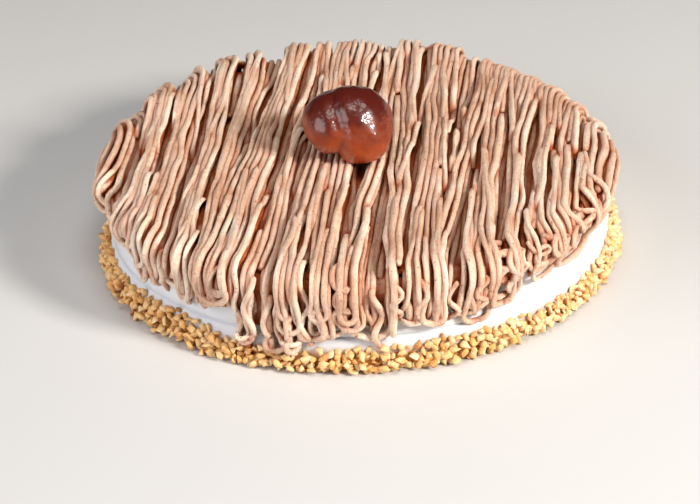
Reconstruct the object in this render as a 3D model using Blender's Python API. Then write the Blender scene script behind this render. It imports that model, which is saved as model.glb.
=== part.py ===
"""A round chestnut cake: a cream-coated cake with a seam round its side and chopped nuts at its
foot, chestnut cream piped over it in strands that run from back to front and hang over the edge
in loops, and one candied chestnut on top. Metres, +Z up, the front towards -Y, and the origin
under the middle of the foot."""

import math
import random

import bmesh
import bpy
from mathutils import Euler, Matrix, Vector

MM = 0.001
WELD = 0.0002 * MM  # points closer than this are one point

# The cake's cream coat: a slightly wider band at the foot, a seam, the wall and a flat top
FOOT_RADIUS = 111.0 * MM
BAND_RADIUS = 110.4 * MM
BAND_HEIGHT = 13.4 * MM
SEAM_RADIUS = 108.9 * MM
SEAM_HEIGHT = 14.9 * MM
WALL_RADIUS = 108.6 * MM
TOP_HEIGHT = 38.0 * MM
SHOULDER_ROUND = 4.0 * MM
CAKE_SIDES = 48
FLAT_RADIUS = WALL_RADIUS - SHOULDER_ROUND

# Chopped nuts pressed into the foot, in a lower row at the floor and an upper row above it. A
# row's standing out is how far the middle of a nut is from the cream's face
NUT_SEED = 11
NUT_COUNT = 132
NUT_LENGTH = (4.0 * MM, 5.4 * MM)
NUT_CUT = (0.74, 1.12)
NUT_TOP = 9.6 * MM
NUT_FLOOR_GAP = 0.15 * MM
UPPER_UNEVEN = 1.6 * MM
LOWER_UNEVEN = 0.4 * MM
UPPER_STANDING_OUT = 0.7 * MM
LOWER_STANDING_OUT = 1.4 * MM

# Piped chestnut cream: passes of a nozzle with several holes, laid side by side from the back to
# the front. Heights are above the cream: of a strand's crest, of the valley between two strands
# of a pass, and of the groove between two passes. The paste is heaped up along the edge, where
# the nozzle turned back
PIPING_SEED = 5
GAP = 0.3 * MM
PASSES = 13
STRANDS_PER_PASS = (4, 3, 5, 4, 3)
STRAND_PITCH = 3.7 * MM
STRAND_RADIUS = 1.75 * MM
CREST_HALF_WIDTH = 1.0 * MM
PIPED_HALF_WIDTH = 120.0 * MM
LEAN = math.radians(7.0)
WANDER = 1.6 * MM
OWN_WANDER = 0.5 * MM
STEP = 2.0 * MM
CREST = {"top": (6.6 * MM, 7.5 * MM), "wall": 5.3 * MM, "tip": 4.3 * MM}
VALLEY = {"below": 1.5 * MM, "wall": 3.7 * MM, "tip": 2.2 * MM, "shorter": 3.5 * MM}
GROOVE = {"below": 3.8 * MM, "wall": 2.0 * MM, "tip": 1.3 * MM, "shorter": 8.0 * MM}
EDGE_HEAP = 1.6 * MM
EDGE_HEAP_WIDTH = 26.0 * MM
SHOULDER_BEND = SHOULDER_ROUND + 3.6 * MM
WALL_START = FLAT_RADIUS + 0.5 * math.pi * SHOULDER_BEND

# Rows of points along a strand: shares of its way over the top, then of its way down
ROWS_ON_TOP = (0.36, 0.70, 1.0)
ROWS_DOWN = (0.2, 0.37, 0.55, 1.0)

# Single loops that hang from the edge of the piping
LOOP_SIDES = 5
LOOP_COUNT = 20
LOOP_DROP = 5.5 * MM
LOOP_HALF_WIDTH = (1.9 * MM, 3.6 * MM)
LOOP_SWAY = 1.5 * MM
LOOP_LIFT = 3.1 * MM

# How low the fringe hangs: azimuth in degrees from the front, growing to the right, and height
FRINGE = (
    (-180, 21), (-155, 26), (-135, 18), (-112, 24), (-90, 31), (-66, 29), (-61, 19), (-47, 19),
    (-36, 20), (-30, 25), (-26, 12), (-15, 12), (-7, 14), (-4, 18), (1, 12), (7, 15), (12, 20),
    (20, 17), (27, 21), (35, 19), (45, 23), (55, 23), (67, 26), (90, 31), (108, 22), (128, 27),
    (150, 17), (165, 25), (180, 21),
)
LOWEST_TIP = NUT_TOP + 2 * GAP

# The candied chestnut, set a little into the strands
CHESTNUT_SIZE = (38.5 * MM, 34.0 * MM, 31.5 * MM)
CHESTNUT_CENTRE = Vector((-3.0 * MM, -4.0 * MM, 58.6 * MM))
CHESTNUT_POCKET_GAP = 0.35 * MM
CLEFT_DEPTH = 0.14
CLEFT_AT = -0.42
CLEFT_WIDTH = 0.13
LOBE_SHRINK = 0.10
CHESTNUT_SEGMENTS = 24
CHESTNUT_RINGS = 14


def clear_scene():
    for obj in list(bpy.data.objects):
        bpy.data.objects.remove(obj)


def material(name, colour, roughness):
    made = bpy.data.materials.new(name)
    made.use_nodes = True
    shader = made.node_tree.nodes["Principled BSDF"]
    shader.inputs["Base Color"].default_value = (*colour, 1.0)
    shader.inputs["Roughness"].default_value = roughness
    shader.inputs["Metallic"].default_value = 0.0
    return made


def new_object(name, mesh):
    obj = bpy.data.objects.new(name, mesh)
    bpy.context.scene.collection.objects.link(obj)
    return obj


def object_from(name, bm):
    """A mesh object made of bm, with its faces pointing out."""
    bmesh.ops.recalc_face_normals(bm, faces=bm.faces)
    mesh = bpy.data.meshes.new(name)
    bm.to_mesh(mesh)
    bm.free()
    return new_object(name, mesh)


def loft(name, rings):
    """A closed solid through rings of equally many points, flat at its two ends."""
    bm = bmesh.new()
    rows = [[bm.verts.new(point) for point in ring] for ring in rings]
    count = len(rows[0])
    for lower, upper in zip(rows, rows[1:]):
        for i in range(count):
            j = (i + 1) % count
            bm.faces.new((lower[i], lower[j], upper[j], upper[i]))
    bm.faces.new(list(reversed(rows[0])))
    bm.faces.new(rows[-1])
    return object_from(name, bm)


def between(rows, value):
    """Reads a table of rising (key, value) pairs with straight lines between them."""
    for (low, start), (high, end) in zip(rows, rows[1:]):
        if value <= high:
            share = max(0.0, (value - low) / (high - low))
            return start + (end - start) * share
    return rows[-1][1]


def wall_radius(height):
    """Radius of the cream coat's side at a height."""
    side = (
        (0.0, FOOT_RADIUS),
        (BAND_HEIGHT, BAND_RADIUS),
        (SEAM_HEIGHT, SEAM_RADIUS),
        (TOP_HEIGHT - SHOULDER_ROUND, WALL_RADIUS),
    )
    return between(side, height)


def height_at(arc):
    """Height on the wall at a distance from the middle of the top, measured over the shoulder."""
    return TOP_HEIGHT - SHOULDER_ROUND - (arc - WALL_START)


def arc_at(height):
    return WALL_START + TOP_HEIGHT - SHOULDER_ROUND - height


def over_skin(plan, lift):
    """The point a lift above the cream, for a point of the cream unrolled flat."""
    arc = plan.length
    outward = plan.normalized() if arc > 0 else Vector((1.0, 0.0))
    if arc <= FLAT_RADIUS:
        radius, height = arc, TOP_HEIGHT + lift
    elif arc <= WALL_START:
        angle = (arc - FLAT_RADIUS) / SHOULDER_BEND
        reach = SHOULDER_ROUND + lift
        radius = FLAT_RADIUS + reach * math.sin(angle)
        height = TOP_HEIGHT - SHOULDER_ROUND + reach * math.cos(angle)
    else:
        height = height_at(arc)
        radius = wall_radius(height) + lift
    return Vector((outward.x * radius, outward.y * radius, height))


def circle(radius, height, sides):
    turns = [2 * math.pi * i / sides for i in range(sides)]
    return [Vector((radius * math.cos(t), radius * math.sin(t), height)) for t in turns]


def azimuth_of(plan):
    """Degrees from the front of the cake, growing towards +X."""
    return math.degrees(math.atan2(plan.x, -plan.y))


def fringe_height(plan):
    return between(FRINGE, azimuth_of(plan)) * MM


def make_cake_body(grow=0.0):
    """The cream-coated cake without its nuts, or the same with an allowance round it."""
    rings = [
        circle(FOOT_RADIUS + grow, -grow, CAKE_SIDES),
        circle(BAND_RADIUS + grow, BAND_HEIGHT, CAKE_SIDES),
        circle(SEAM_RADIUS + grow, SEAM_HEIGHT, CAKE_SIDES),
    ]
    for angle in [math.radians(a) for a in (0, 35, 65, 90)]:
        radius = FLAT_RADIUS + (SHOULDER_ROUND + grow) * math.cos(angle)
        height = TOP_HEIGHT - SHOULDER_ROUND + (SHOULDER_ROUND + grow) * math.sin(angle)
        rings.append(circle(radius, height, CAKE_SIDES))
    return loft("cream_cake", rings)


def make_nut(rng, index):
    """One chopped nut: an uneven chunk with flat cut faces, bedded in the foot."""
    bm = bmesh.new()
    bmesh.ops.create_cube(bm, size=1.0)
    length = rng.uniform(*NUT_LENGTH)
    size = Vector((length, length * rng.uniform(0.7, 0.9), length * rng.uniform(0.5, 0.75)))
    for vert in bm.verts:
        vert.co *= rng.uniform(*NUT_CUT)
    bmesh.ops.triangulate(bm, faces=bm.faces)
    turn = Euler([rng.uniform(-1.2, 1.2), rng.uniform(-1.2, 1.2), rng.uniform(0, 6.28)])
    bmesh.ops.transform(bm, matrix=turn.to_matrix().to_4x4() @ Matrix.Diagonal((*size, 1.0)),
                        verts=bm.verts)
    low = min(vert.co.z for vert in bm.verts)
    high = max(vert.co.z for vert in bm.verts)
    if index % 2:
        height = NUT_TOP - high - rng.uniform(0.0, UPPER_UNEVEN)
        depth = UPPER_STANDING_OUT
    else:
        height = NUT_FLOOR_GAP - low + rng.uniform(0.0, LOWER_UNEVEN)
        depth = LOWER_STANDING_OUT
    angle = 2 * math.pi * (index + rng.uniform(-0.35, 0.35)) / NUT_COUNT
    radius = wall_radius(height) + depth
    place = Vector((radius * math.cos(angle), radius * math.sin(angle), height))
    bmesh.ops.translate(bm, vec=place, verts=bm.verts)
    return object_from(f"nut_{index}", bm)


def keep_main_body(mesh):
    """Drops loose scraps, and fills sealed hollows by dropping their walls."""
    bm = bmesh.new()
    bm.from_mesh(mesh)
    bmesh.ops.remove_doubles(bm, verts=bm.verts, dist=WELD)
    bmesh.ops.triangulate(bm, faces=bm.faces)
    left = set(bm.verts)
    shells = []
    while left:
        shell = {left.pop()}
        front = list(shell)
        while front:
            found = {edge.other_vert(vert) for vert in front for edge in vert.link_edges}
            front = list(found - shell)
            shell |= found
        left -= shell
        shells.append(shell)
    main = max(shells, key=len)
    bmesh.ops.delete(bm, geom=[v for v in bm.verts if v not in main], context="VERTS")
    bm.to_mesh(mesh)
    bm.free()


def combine(base, pieces, operation):
    """Joins pieces to base, or cuts them from it, and removes them."""
    group = bpy.data.collections.new("pieces")
    bpy.context.scene.collection.children.link(group)
    for piece in pieces:
        bpy.context.scene.collection.objects.unlink(piece)
        group.objects.link(piece)
    boolean = base.modifiers.new("combine", "BOOLEAN")
    boolean.operation = operation
    boolean.operand_type = "COLLECTION"
    boolean.collection = group
    boolean.solver = "EXACT"
    bpy.context.view_layer.update()
    graph = bpy.context.evaluated_depsgraph_get()
    mesh = bpy.data.meshes.new_from_object(base.evaluated_get(graph))
    base.modifiers.clear()
    base.data = mesh
    for piece in list(group.objects):
        bpy.data.objects.remove(piece)
    bpy.data.collections.remove(group)
    keep_main_body(mesh)


def make_cake():
    rng = random.Random(NUT_SEED)
    body = make_cake_body()
    nuts = [make_nut(rng, index) for index in range(NUT_COUNT)]
    combine(body, nuts, "UNION")
    body.data.materials.clear()
    body.data.materials.append(material("whipped_cream", (0.86, 0.86, 0.84), 0.5))
    return body


class Pass:
    """One pass of the nozzle over the top: where it runs and how it wanders."""

    def __init__(self, rng, across, strands):
        self.across = across
        self.strands = strands
        self.waves = [(OWN_WANDER, rng.uniform(60, 110) * MM, rng.uniform(0, 6.28))]
        self.waves.append((WANDER, 150 * MM, 0.8 + 6 * across))
        self.waves.append((0.4 * WANDER, 64 * MM, 2.1 + 9 * across))
        self.lift = rng.uniform(*CREST["top"])

    def bend_radius(self, offset):
        """Distance from the middle at which a strand starts to turn down."""
        return max(FLAT_RADIUS - 2 * MM, abs(self.across + offset) + 3 * MM)

    def lane(self, offset, along):
        """The plan point of a strand at a distance along the pass from the middle."""
        across = self.across + offset
        for size, length, phase in self.waves:
            across += size * math.sin(2 * math.pi * along / length + phase)
        side = Vector((math.cos(LEAN), -math.sin(LEAN)))
        ahead = Vector((math.sin(LEAN), math.cos(LEAN)))
        return side * across + ahead * along


def make_passes(rng):
    """Passes side by side, each of 3 to 5 strands."""
    counts = [STRANDS_PER_PASS[i % len(STRANDS_PER_PASS)] for i in range(PASSES)]
    rng.shuffle(counts)
    groove = (2 * PIPED_HALF_WIDTH - sum(counts) * STRAND_PITCH) / PASSES
    passes = []
    across = -PIPED_HALF_WIDTH
    for count in counts:
        width = count * STRAND_PITCH + groove
        passes.append(Pass(rng, across + width / 2, count))
        across += width
    return passes


def leg(run, offset, way, stop_arc):
    """Plan points of a strand from the middle of its pass out over the shoulder and down, and
    how many of them are on the top."""
    points = [run.lane(offset, 0.0), run.lane(offset, way * STEP)]
    while points[-1].length < run.bend_radius(offset):
        points.append(run.lane(offset, way * STEP * len(points)))
    on_top = len(points)
    ahead = (points[-1] - points[-2]).normalized()
    while points[-1].length < stop_arc:
        ahead = (ahead * 0.84 + points[-1].normalized() * 0.16).normalized()
        points.append(points[-1] + ahead * STEP)
    return points, on_top


def along_line(points, share):
    """The point at a share of the way along a list of evenly spaced points."""
    place = share * (len(points) - 1)
    low = min(int(place), len(points) - 2)
    return points[low].lerp(points[low + 1], place - low)


def crest_row_points(run, offset, lows):
    """Plan points of one crest line, from its front tip to its back tip."""
    halves = []
    for way, low in zip((-1, 1), lows):
        points, on_top = leg(run, offset, way, arc_at(low))
        top, down = points[:on_top], points[on_top - 1:]
        half = [along_line(top, share) for share in ROWS_ON_TOP]
        half += [along_line(down, share) for share in ROWS_DOWN]
        halves.append(half)
    return list(reversed(halves[0])) + [run.lane(offset, 0.0)] + halves[1]


def between_lines(left, right, shorter):
    """Plan points midway between two crest lines, drawn back from the tips."""
    middle = [(a + b) / 2 for a, b in zip(left, right)]
    for end, step in ((0, 1), (-1, -1)):
        tip = middle[end]
        wall_part = max(tip.length - WALL_START, 0.0)
        middle[end] = tip.normalized() * (tip.length - min(shorter, 0.8 * wall_part + MM))
    return middle


def lifted(line, top, wall, tip):
    """Points above the cream for a plan line with its heights on the top, wall and tips."""
    points = []
    for i, plan in enumerate(line):
        if i in (0, len(line) - 1):
            lift = tip
        else:
            heap = (
                (FLAT_RADIUS - EDGE_HEAP_WIDTH, top),
                (FLAT_RADIUS - 0.1 * EDGE_HEAP_WIDTH, top + EDGE_HEAP),
                (WALL_START, wall),
            )
            lift = between(heap, plan.length)
        points.append(over_skin(plan, lift))
    return points


def make_sheet(rng, passes):
    """All passes as one solid with a ridge for every strand, down to the middle of the cake."""
    crests = []
    for run in passes:
        for i in range(run.strands):
            centre = (i - (run.strands - 1) / 2) * STRAND_PITCH
            lows = []
            for way in (-1, 1):
                crossing = leg(run, centre, way, WALL_START)[0][-1]
                low = fringe_height(crossing) + rng.uniform(2.0, 7.0) * MM
                lows.append(max(low, LOWEST_TIP))
            for side in (-CREST_HALF_WIDTH, CREST_HALF_WIDTH):
                crests.append((run, i, crest_row_points(run, centre + side, lows)))
    columns = []
    for at, (run, i, line) in enumerate(crests):
        columns.append(lifted(line, run.lift, CREST["wall"], CREST["tip"]))
        if at == len(crests) - 1:
            break
        next_run, next_i, next_line = crests[at + 1]
        if next_run is run and next_i == i:
            continue
        kind = VALLEY if next_run is run else GROOVE
        middle = between_lines(line, next_line, kind["shorter"])
        top = min(run.lift, next_run.lift) - kind["below"]
        columns.append(lifted(middle, top, kind["wall"], kind["tip"]))
    return close_sheet("piped_chestnut_cream", columns)


def close_sheet(name, columns):
    """A solid under a grid of points, closed to one point in the middle of the cake."""
    bm = bmesh.new()
    grid = [[bm.verts.new(point) for point in column] for column in columns]
    middle = bm.verts.new((0.0, 0.0, 0.55 * TOP_HEIGHT))
    for left, right in zip(grid, grid[1:]):
        for i in range(len(left) - 1):
            bm.faces.new((left[i], right[i], right[i + 1], left[i + 1]))
        bm.faces.new((left[0], middle, right[0]))
        bm.faces.new((right[-1], middle, left[-1]))
    for column, turn in ((grid[0], 1), (grid[-1], -1)):
        for i in range(len(column) - 1):
            bm.faces.new((column[i], column[i + 1], middle)[::turn])
    bmesh.ops.triangulate(bm, faces=bm.faces)
    return object_from(name, bm)


def strand(name, points):
    """A tube along points: rings of a few sides, held from twisting."""
    turns = [2 * math.pi * i / LOOP_SIDES for i in range(LOOP_SIDES)]
    tangents = []
    for i in range(len(points)):
        behind, ahead = points[max(i - 1, 0)], points[min(i + 1, len(points) - 1)]
        tangents.append((ahead - behind).normalized())
    normal = tangents[0].orthogonal().normalized()
    rings = []
    for point, tangent in zip(points, tangents):
        normal = (normal - tangent * normal.dot(tangent)).normalized()
        other = tangent.cross(normal)
        rings.append([point + (normal * math.cos(t) + other * math.sin(t)) * STRAND_RADIUS
                      for t in turns])
    return loft(name, rings)


def make_loop(rng, name, angle):
    """A strand that hangs from the edge of the piping and turns back up."""
    facing = Vector((math.sin(angle), -math.cos(angle)))
    side = Vector((math.cos(angle), math.sin(angle)))
    low = max(fringe_height(facing) + rng.uniform(-1.0, 2.0) * MM, LOWEST_TIP)
    half = rng.uniform(*LOOP_HALF_WIDTH)
    turn_arc = arc_at(low + STRAND_RADIUS + half)
    start_arc = turn_arc - rng.uniform(1.0, 1.5) * LOOP_DROP
    sway = rng.uniform(-LOOP_SWAY, LOOP_SWAY)
    plan = [(start_arc, -0.6 * half - sway)]
    for degrees in range(0, 181, 60):
        t = math.radians(degrees)
        plan.append((turn_arc + half * math.sin(t), -half * math.cos(t)))
    plan.append((start_arc, 0.6 * half - sway))
    points = [over_skin((facing * arc + side * across), LOOP_LIFT) for arc, across in plan]
    return strand(name, points)


def chestnut_mesh(name, grow):
    """A round chestnut with a cleft between its small left lobe and its main body."""
    bm = bmesh.new()
    bmesh.ops.create_uvsphere(bm, u_segments=CHESTNUT_SEGMENTS, v_segments=CHESTNUT_RINGS,
                              radius=0.5)
    size = Vector(CHESTNUT_SIZE)
    for vert in bm.verts:
        way = vert.co.normalized()
        cleft = math.exp(-(((way.x - CLEFT_AT - 0.12 * way.z) / CLEFT_WIDTH) ** 2))
        cleft *= 0.5 + 0.5 * max(0.0, min(1.0, 0.5 - 0.8 * way.y))
        lobe = 1.0 - LOBE_SHRINK * max(0.0, CLEFT_AT - way.x)
        point = Vector((way.x * size.x, way.y * size.y, way.z * size.z)) * 0.5
        point *= lobe * (1.0 - CLEFT_DEPTH * cleft)
        vert.co = point + way * grow
    chestnut = object_from(name, bm)
    chestnut.data.transform(Matrix.Translation(CHESTNUT_CENTRE))
    chestnut.data.shade_smooth()
    return chestnut


def make_piped_cream():
    rng = random.Random(PIPING_SEED)
    sheet = make_sheet(rng, make_passes(rng))
    loops = []
    for i in range(LOOP_COUNT):
        angle = 2 * math.pi * (i + rng.uniform(-0.3, 0.3)) / LOOP_COUNT
        loops.append(make_loop(rng, f"loop_{i}", angle))
    combine(sheet, loops, "UNION")
    cutters = [make_cake_body(GAP), chestnut_mesh("pocket", CHESTNUT_POCKET_GAP)]
    combine(sheet, cutters, "DIFFERENCE")
    sheet.data.materials.clear()
    sheet.data.materials.append(material("chestnut_cream", (0.55, 0.35, 0.23), 0.6))
    return sheet


def centre_on_origin(objects):
    """Moves everything alike, so that the origin is under the middle of the whole."""
    points = [vert.co for obj in objects for vert in obj.data.vertices]
    shift = Vector((0.0, 0.0, 0.0))
    for axis in (0, 1):
        values = [point[axis] for point in points]
        shift[axis] = -(min(values) + max(values)) / 2
    for obj in objects:
        obj.data.transform(Matrix.Translation(shift))


def main():
    clear_scene()
    cake = make_cake()
    piped = make_piped_cream()
    chestnut = chestnut_mesh("candied_chestnut", 0.0)
    chestnut.data.materials.append(material("candied_chestnut", (0.22, 0.05, 0.02), 0.2))
    centre_on_origin([cake, piped, chestnut])
    for obj in (cake, piped, chestnut):
        print(obj.name, len(obj.data.polygons), "faces")


main()
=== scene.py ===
import math

import bmesh
import bpy
import numpy as np
from mathutils import Matrix, Vector
from mathutils.noise import noise as smooth_noise


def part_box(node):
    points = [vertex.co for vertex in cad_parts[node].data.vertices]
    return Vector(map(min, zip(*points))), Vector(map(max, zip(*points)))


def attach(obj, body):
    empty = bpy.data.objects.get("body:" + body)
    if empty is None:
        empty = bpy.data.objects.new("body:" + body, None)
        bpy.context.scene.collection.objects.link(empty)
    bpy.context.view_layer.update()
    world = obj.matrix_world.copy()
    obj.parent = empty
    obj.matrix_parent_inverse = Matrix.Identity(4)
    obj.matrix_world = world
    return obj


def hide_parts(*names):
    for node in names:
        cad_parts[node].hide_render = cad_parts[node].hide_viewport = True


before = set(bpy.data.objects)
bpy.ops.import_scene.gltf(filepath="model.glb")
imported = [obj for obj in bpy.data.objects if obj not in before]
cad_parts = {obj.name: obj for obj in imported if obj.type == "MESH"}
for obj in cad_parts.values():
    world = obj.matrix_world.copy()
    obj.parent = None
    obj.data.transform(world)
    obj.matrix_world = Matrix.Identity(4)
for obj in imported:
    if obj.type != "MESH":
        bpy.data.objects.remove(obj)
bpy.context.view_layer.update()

# The cream-coated cake: sponge layers in a coat of stiff whipped cream, turned smooth with a
# palette knife. A band at the foot stands out a little under a seam that the knife's edge left.
# Its top lies under the piping.
MM = 0.001
WALL = (  # height and radius of the coat's side
    (0.0, 110.4), (0.8, 110.9), (4.0, 111.1), (9.0, 110.8), (12.4, 110.4), (14.0, 109.8),
    (14.5, 109.2), (14.9, 107.3), (15.3, 108.8), (17.5, 109.0), (22.0, 108.7), (34.4, 108.4),
)
CREAM_TOP = 38.0 * MM
SHOULDER = 3.6 * MM
FLAT_RADIUS = WALL[-1][1] * MM - SHOULDER
CREAM_SIDES = 288
LEVEL_STEP = 0.8  # mm between the rings of the side, with more at the seam
SEAM_HEIGHTS = [height for height, _ in WALL[5:10]]
SHOULDER_STEP = 18  # degrees
CAP_RADIUS = 60.0 * MM  # of the flat caps in the top and the underside


def wall_radius(height):
    """Radius of the cream's side at a height."""
    return np.interp(height, [h * MM for h, _ in WALL], [r * MM for _, r in WALL])


def grid_faces(rows, columns, closed):
    """Quads of a grid of points kept row by row; closed joins the last column to the first."""
    i = np.arange(rows - 1)[:, None]
    j = np.arange(columns if closed else columns - 1)[None, :]
    k = (j + 1) % columns
    quads = [i * columns + j, i * columns + k, (i + 1) * columns + k, (i + 1) * columns + j]
    return np.stack([np.broadcast_to(q, (rows - 1, j.shape[1])) for q in quads], -1).reshape(-1, 4)


def new_piece(name, points, faces, material):
    mesh = bpy.data.meshes.new(name)
    mesh.from_pydata([tuple(p) for p in points], [], [tuple(int(i) for i in f) for f in faces])
    mesh.validate()
    mesh.polygons.foreach_set("use_smooth", [True] * len(mesh.polygons))
    piece = bpy.data.objects.new(name, mesh)
    bpy.context.scene.collection.objects.link(piece)
    mesh.materials.append(material)
    return piece


def linear(hex_colour):
    """An sRGB hex colour as linear RGBA."""
    parts = [int(hex_colour[i:i + 2], 16) / 255 for i in (1, 3, 5)]
    parts = [p / 12.92 if p <= 0.04045 else ((p + 0.055) / 1.055) ** 2.4 for p in parts]
    return (*parts, 1.0)


def add_node(material, kind, links=(), **settings):
    """Adds a node. A setting whose name is an input socket sets the socket, any other an
    attribute. links are pairs of an input's name or number and the output that feeds it."""
    node = material.node_tree.nodes.new(kind)
    for name, value in settings.items():
        label = name.replace("_", " ")
        if hasattr(node, name):
            setattr(node, name, value)
        else:
            node.inputs[label].default_value = value
    for name, output in links:
        material.node_tree.links.new(output, node.inputs[name])
    return node


def new_material(name, **settings):
    """A material with a Principled shader and these values on the shader's own sockets."""
    material = bpy.data.materials.new(name)
    material.use_nodes = True
    shader = material.node_tree.nodes["Principled BSDF"]
    for label, value in settings.items():
        shader.inputs[label.replace("_", " ")].default_value = value
    return material, shader


def feed(material, shader, **outputs):
    for label, output in outputs.items():
        material.node_tree.links.new(output, shader.inputs[label.replace("_", " ")])


# Whipped cream, spread with a knife: white, dense and softly matt. Light goes a few millimetres
# in, so shadows on it stay pale. The knife leaves long shallow waves round the side, and small
# air bubbles leave pits under a millimetre across. Its foot is painted warm brown among the nuts,
# for light bounced from them into its shade.
whipped_cream, shader = new_material(
    "whipped_cream_spread", Roughness=0.48, IOR=1.45, Specular_IOR_Level=0.4,
    Subsurface_Weight=0.35, Subsurface_Scale=3.0 * MM, Subsurface_Radius=(1.0, 0.9, 0.8))
place = add_node(whipped_cream, "ShaderNodeTexCoord")
tint = add_node(whipped_cream, "ShaderNodeTexNoise", [("Vector", place.outputs["Object"])],
                Scale=1 / (40 * MM), Detail=2.0)
colour = add_node(whipped_cream, "ShaderNodeMix", [("Factor", tint.outputs["Fac"])],
                  data_type="RGBA", A=linear("#D3D5D9"), B=linear("#DDDEDF"))
split = add_node(whipped_cream, "ShaderNodeSeparateXYZ", [("Vector", place.outputs["Object"])])
# Painted light: below 11 mm, among the nuts, the cream is tinted warm brown, #B98142, for light
# bounced from them into its shade.
foot = add_node(whipped_cream, "ShaderNodeMapRange", [("Value", split.outputs["Z"])],
                From_Min=11 * MM, From_Max=6 * MM)
warm_bounce_tint = add_node(whipped_cream, "ShaderNodeMix",
                 [("Factor", foot.outputs["Result"]), ("A", colour.outputs["Result"])],
                 data_type="RGBA", B=linear("#B98142"))
stretch = add_node(whipped_cream, "ShaderNodeMapping", [("Vector", place.outputs["Object"])],
                   Scale=(1.0, 1.0, 9.0))
swipe = add_node(whipped_cream, "ShaderNodeTexNoise", [("Vector", stretch.outputs["Vector"])],
                 Scale=1 / (28 * MM), Detail=3.0)
bubbles = add_node(whipped_cream, "ShaderNodeTexNoise", [("Vector", place.outputs["Object"])],
                   Scale=1 / (0.9 * MM), Detail=2.0)
wave_bump = add_node(whipped_cream, "ShaderNodeBump", [("Height", swipe.outputs["Fac"])],
                     Strength=0.35, Distance=1.2 * MM)
fine_bump = add_node(whipped_cream, "ShaderNodeBump",
                     [("Height", bubbles.outputs["Fac"]), ("Normal", wave_bump.outputs["Normal"])],
                     Strength=0.12, Distance=0.2 * MM)
feed(whipped_cream, shader, Base_Color=warm_bounce_tint.outputs["Result"],
     Normal=fine_bump.outputs["Normal"])

levels = sorted({*np.arange(0.0, WALL[-1][0], LEVEL_STEP), *SEAM_HEIGHTS})
profile = [(CAP_RADIUS, 0.0)]
profile += [(float(wall_radius(z * MM)), z * MM) for z in levels]
for degrees in range(SHOULDER_STEP, 91, SHOULDER_STEP):
    turn = math.radians(degrees)
    profile.append((FLAT_RADIUS + SHOULDER * math.cos(turn),
                    CREAM_TOP - SHOULDER + SHOULDER * math.sin(turn)))
profile.append((CAP_RADIUS, CREAM_TOP))
around = np.linspace(0.0, 2 * math.pi, CREAM_SIDES, endpoint=False)
cream_points = []
for radius, height in profile:
    for angle in around:
        spot = Vector((math.cos(angle) * 2.2, math.sin(angle) * 2.2, height / (14 * MM)))
        on_side = min(height / (2 * MM), 1.0)
        uneven = smooth_noise(spot * 1.4) * 0.45 * MM * on_side
        ripple = smooth_noise(Vector((spot.x * 1.2, spot.y * 1.2, height / (3.4 * MM)))) * 0.16 * MM
        r = radius + (uneven + ripple * on_side if radius > 100 * MM else 0.0)
        cream_points.append((r * math.cos(angle), r * math.sin(angle), height))
cream_faces = [tuple(f) for f in grid_faces(len(profile), CREAM_SIDES, True)]
cream_faces.append(tuple(reversed(range(CREAM_SIDES))))
cream_faces.append(tuple(range((len(profile) - 1) * CREAM_SIDES, len(profile) * CREAM_SIDES)))
cream_coat = new_piece("cream_coat", cream_points, cream_faces, whipped_cream)
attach(cream_coat, "root")
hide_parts("cream_cake")


# Chopped roasted nuts: peanut or almond, cut in chunks of 3 to 5 mm and pressed by hand into the
# foot of the cream, two or three deep, up to about 10 mm high.
NUT_KINDS = 24
NUT_CORNERS = 11
NUT_WEAR = 0.16  # width of the worn edges, as a share of a chunk's half size
NUT_CIRCLE = 111.5  # mm
NUT_LAYERS = (  # tries, spacing, highest centre and how far out of the cream, in mm
    (12000, 2.7, 10.0, 0.6), (8000, 3.0, 8.2, 2.1), (2500, 3.8, 4.6, 3.6),
)
NUT_EDGE = (  # azimuth from the front, and how much higher the nuts reach there, in mm
    (-180, 0.5), (-70, 1.0), (-50, 3.0), (-36, 2.4), (-28, -1.5), (-15, -1.8), (-4, 0.8), (10, 0.6),
    (22, 1.4), (45, -0.8), (70, 1.5), (90, 2.5), (120, 0.0), (150, 1.2), (180, 0.5),
)


def chopped_nut(rng):
    """One chunk as points and faces: the hull of a few points, its edges worn round."""
    bm = bmesh.new()
    for _ in range(NUT_CORNERS):
        way = Vector(rng.normal(size=3)).normalized()
        bm.verts.new(way * rng.uniform(0.75, 1.0))
    bmesh.ops.convex_hull(bm, input=bm.verts)
    loose = [v for v in bm.verts if not v.link_faces]
    bmesh.ops.delete(bm, geom=loose, context="VERTS")
    bmesh.ops.dissolve_limit(bm, angle_limit=math.radians(14), verts=bm.verts, edges=bm.edges)
    bmesh.ops.bevel(bm, geom=bm.edges, offset=NUT_WEAR, segments=1, affect="EDGES",
                    clamp_overlap=True)
    bmesh.ops.triangulate(bm, faces=bm.faces)
    bmesh.ops.recalc_face_normals(bm, faces=bm.faces)
    bm.verts.index_update()
    points = np.array([v.co[:] for v in bm.verts])
    faces = np.array([[v.index for v in f.verts] for f in bm.faces])
    bm.free()
    return points, faces


# Roasted nut, cut: golden straw with paler cut faces and toasted edges, a dry sheen from its oil.
# The tone changes from chunk to chunk by a value kept on each one, which also paints the nuts on
# the left darker, a painted shade.
roasted_nut, shader = new_material(
    "roasted_nut_cut", Roughness=0.42, IOR=1.47, Specular_IOR_Level=0.45,
    Subsurface_Weight=0.25, Subsurface_Scale=1.2 * MM, Subsurface_Radius=(1.0, 0.6, 0.3))
place = add_node(roasted_nut, "ShaderNodeTexCoord")
tone = add_node(roasted_nut, "ShaderNodeAttribute", attribute_name="tone")
mottle = add_node(roasted_nut, "ShaderNodeTexNoise", [("Vector", place.outputs["Object"])],
                  Scale=1 / (1.6 * MM), Detail=3.0)
mixed = add_node(roasted_nut, "ShaderNodeMath",
                 [(0, mottle.outputs["Fac"]), (2, tone.outputs["Fac"])],
                 operation="MULTIPLY_ADD")
mixed.inputs[1].default_value = 0.5
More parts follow.
